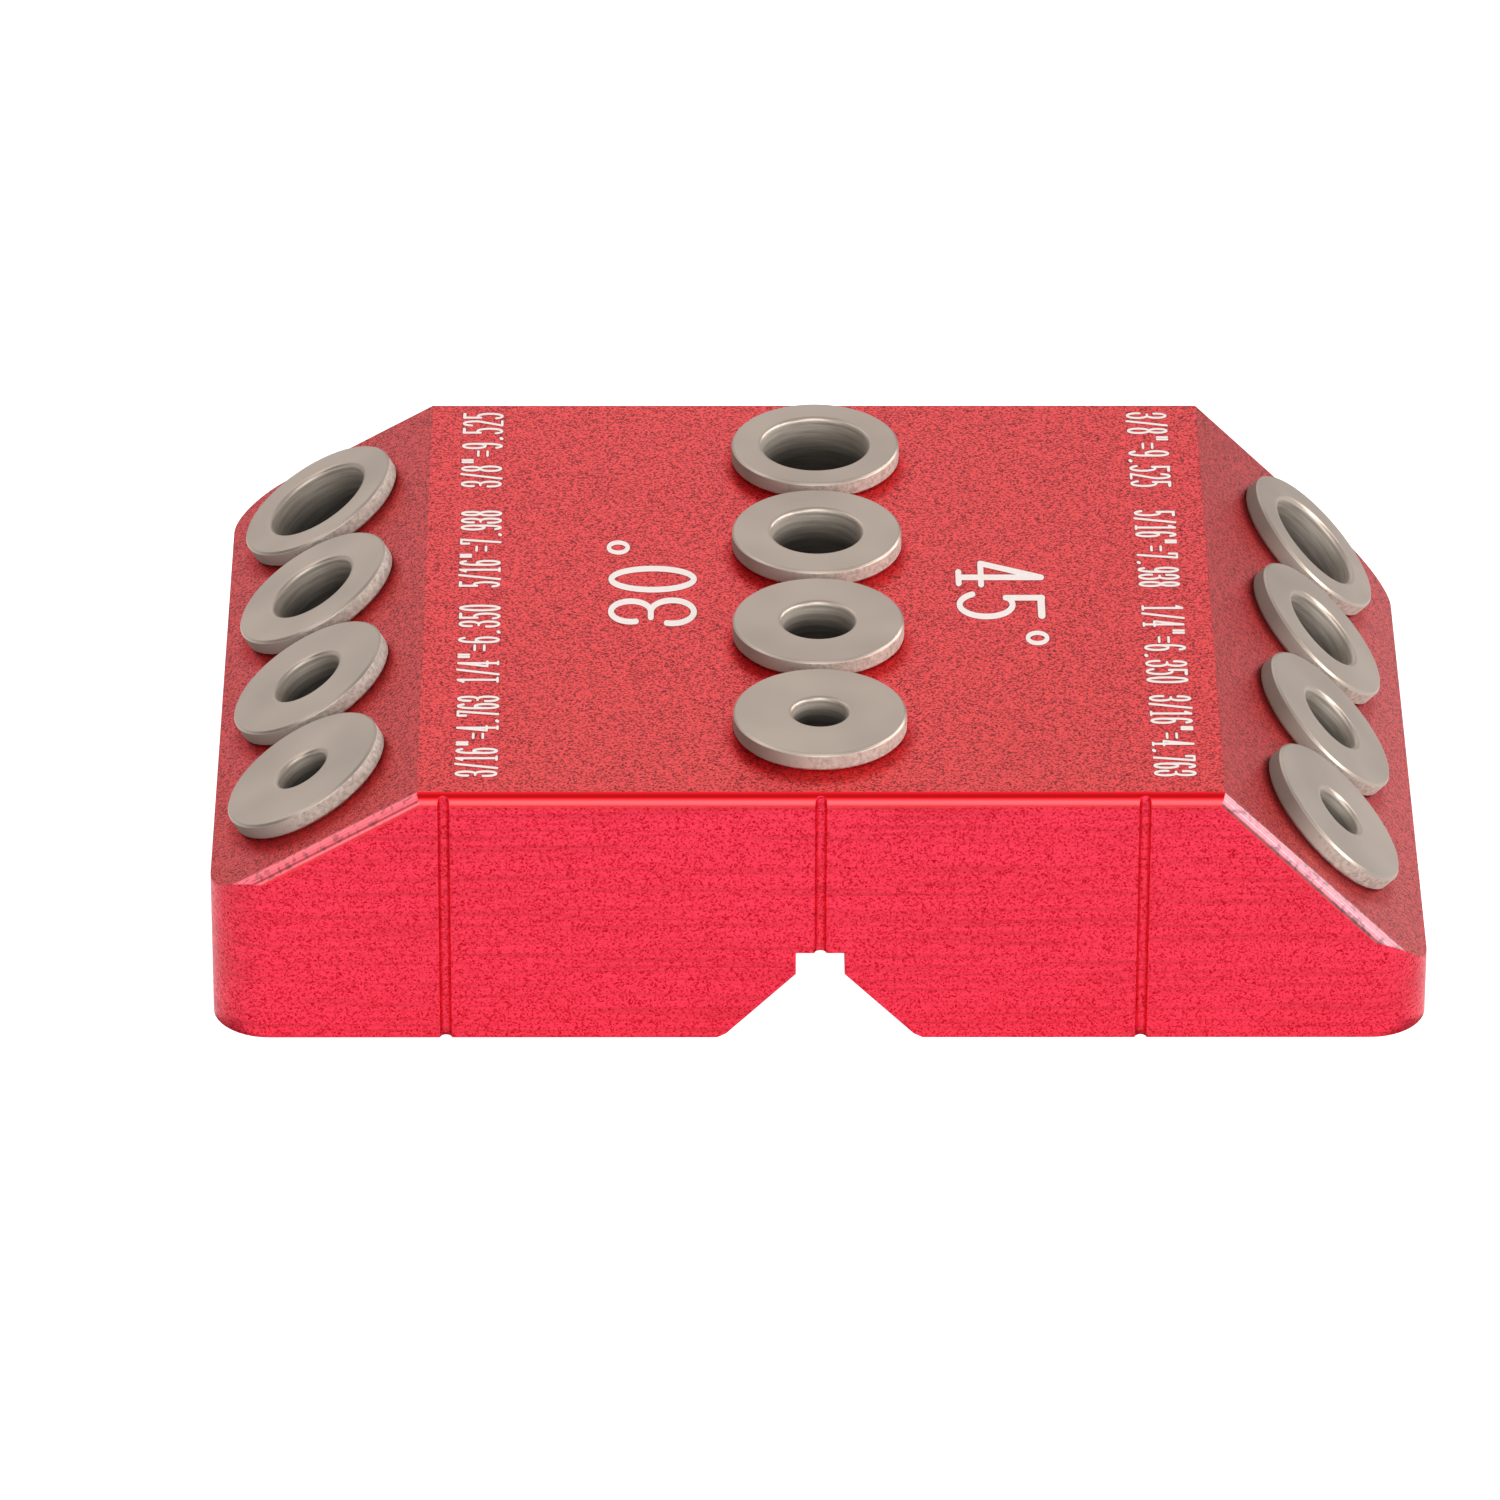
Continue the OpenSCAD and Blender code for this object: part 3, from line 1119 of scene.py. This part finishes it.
class DRILLGUIDE_OT_mark_sizes(bpy.types.Operator):
    """Marks the drill size of each bushing, as a fraction of an inch and in millimetres"""

    bl_idname = "drillguide.mark_sizes"
    bl_label = "Mark the drill sizes"

    def execute(self, context):
        marks = context.scene.drill_guide.marks
        for row, side in (("30deg", -1), ("45deg", 1)):
            reading = Vector((0, -side, 0))
            rows = []
            for size, middle in zip(SIZES, SIZE_MARKS_Y):
                over, under = size.removesuffix("in").split("_")
                bore = bore_of(row, size)[2] / MM
                text = f'{over}/{under}"={bore:.3f}'
                baseline = side * SIZE_MARKS_X + MARKS_SHIFT - MARKS_TURN * middle
                corner = Vector((baseline, middle + side * marks.size_length / 2, FLAT_TOP))
                pitch = marks.size_length / len(text)
                rows.append((text, corner, reading, marks.size_height, pitch, SIZE_PEN))
            add_marks(f"size_marks_{row}", rows, marks)
        return {"FINISHED"}


class DRILLGUIDE_OT_make_stage(bpy.types.Operator):
    """Makes the floor, the light and the camera"""

    bl_idname = "drillguide.make_stage"
    bl_label = "Make the stage"

    def execute(self, context):
        studio = context.scene.drill_guide.studio
        make_floor(studio)
        make_light(studio)
        make_camera(studio)
        context.scene.view_settings.view_transform = "Standard"
        return {"FINISHED"}


class VIEW3D_PT_drill_guide(bpy.types.Panel):
    """Settings and steps of the drill guide"""

    bl_label = "Drill guide"
    bl_space_type = "VIEW_3D"
    bl_region_type = "UI"
    bl_category = "Drill guide"

    def draw(self, context):
        settings = context.scene.drill_guide
        for group in ("block", "bushings", "marks", "studio"):
            box = self.layout.box()
            box.label(text=group.capitalize())
            part = getattr(settings, group)
            for name in part.__annotations__:
                box.prop(part, name)
        for step in STEPS:
            self.layout.operator(step.bl_idname)


STEPS = (
    DRILLGUIDE_OT_finish_block,
    DRILLGUIDE_OT_finish_bushings,
    DRILLGUIDE_OT_mark_angles,
    DRILLGUIDE_OT_mark_sizes,
    DRILLGUIDE_OT_make_stage,
)
GROUPS = (
    DrillGuideBlock,
    DrillGuideBushings,
    DrillGuideMarks,
    DrillGuideStudio,
    DrillGuideSettings,
)


def register():
    """Registers the classes and adds the settings to the scene."""
    for cls in (*GROUPS, *STEPS, VIEW3D_PT_drill_guide):
        bpy.utils.register_class(cls)
    bpy.types.Scene.drill_guide = PointerProperty(type=DrillGuideSettings)


def unregister():
    """Takes the settings and the classes out again."""
    del bpy.types.Scene.drill_guide
    for cls in reversed((*GROUPS, *STEPS, VIEW3D_PT_drill_guide)):
        bpy.utils.unregister_class(cls)


def main():
    """Makes everything, in order."""
    register()
    bpy.ops.drillguide.finish_block()
    bpy.ops.drillguide.finish_bushings()
    bpy.ops.drillguide.mark_angles()
    bpy.ops.drillguide.mark_sizes()
    bpy.ops.drillguide.make_stage()


if __name__ == "__main__":
    main()
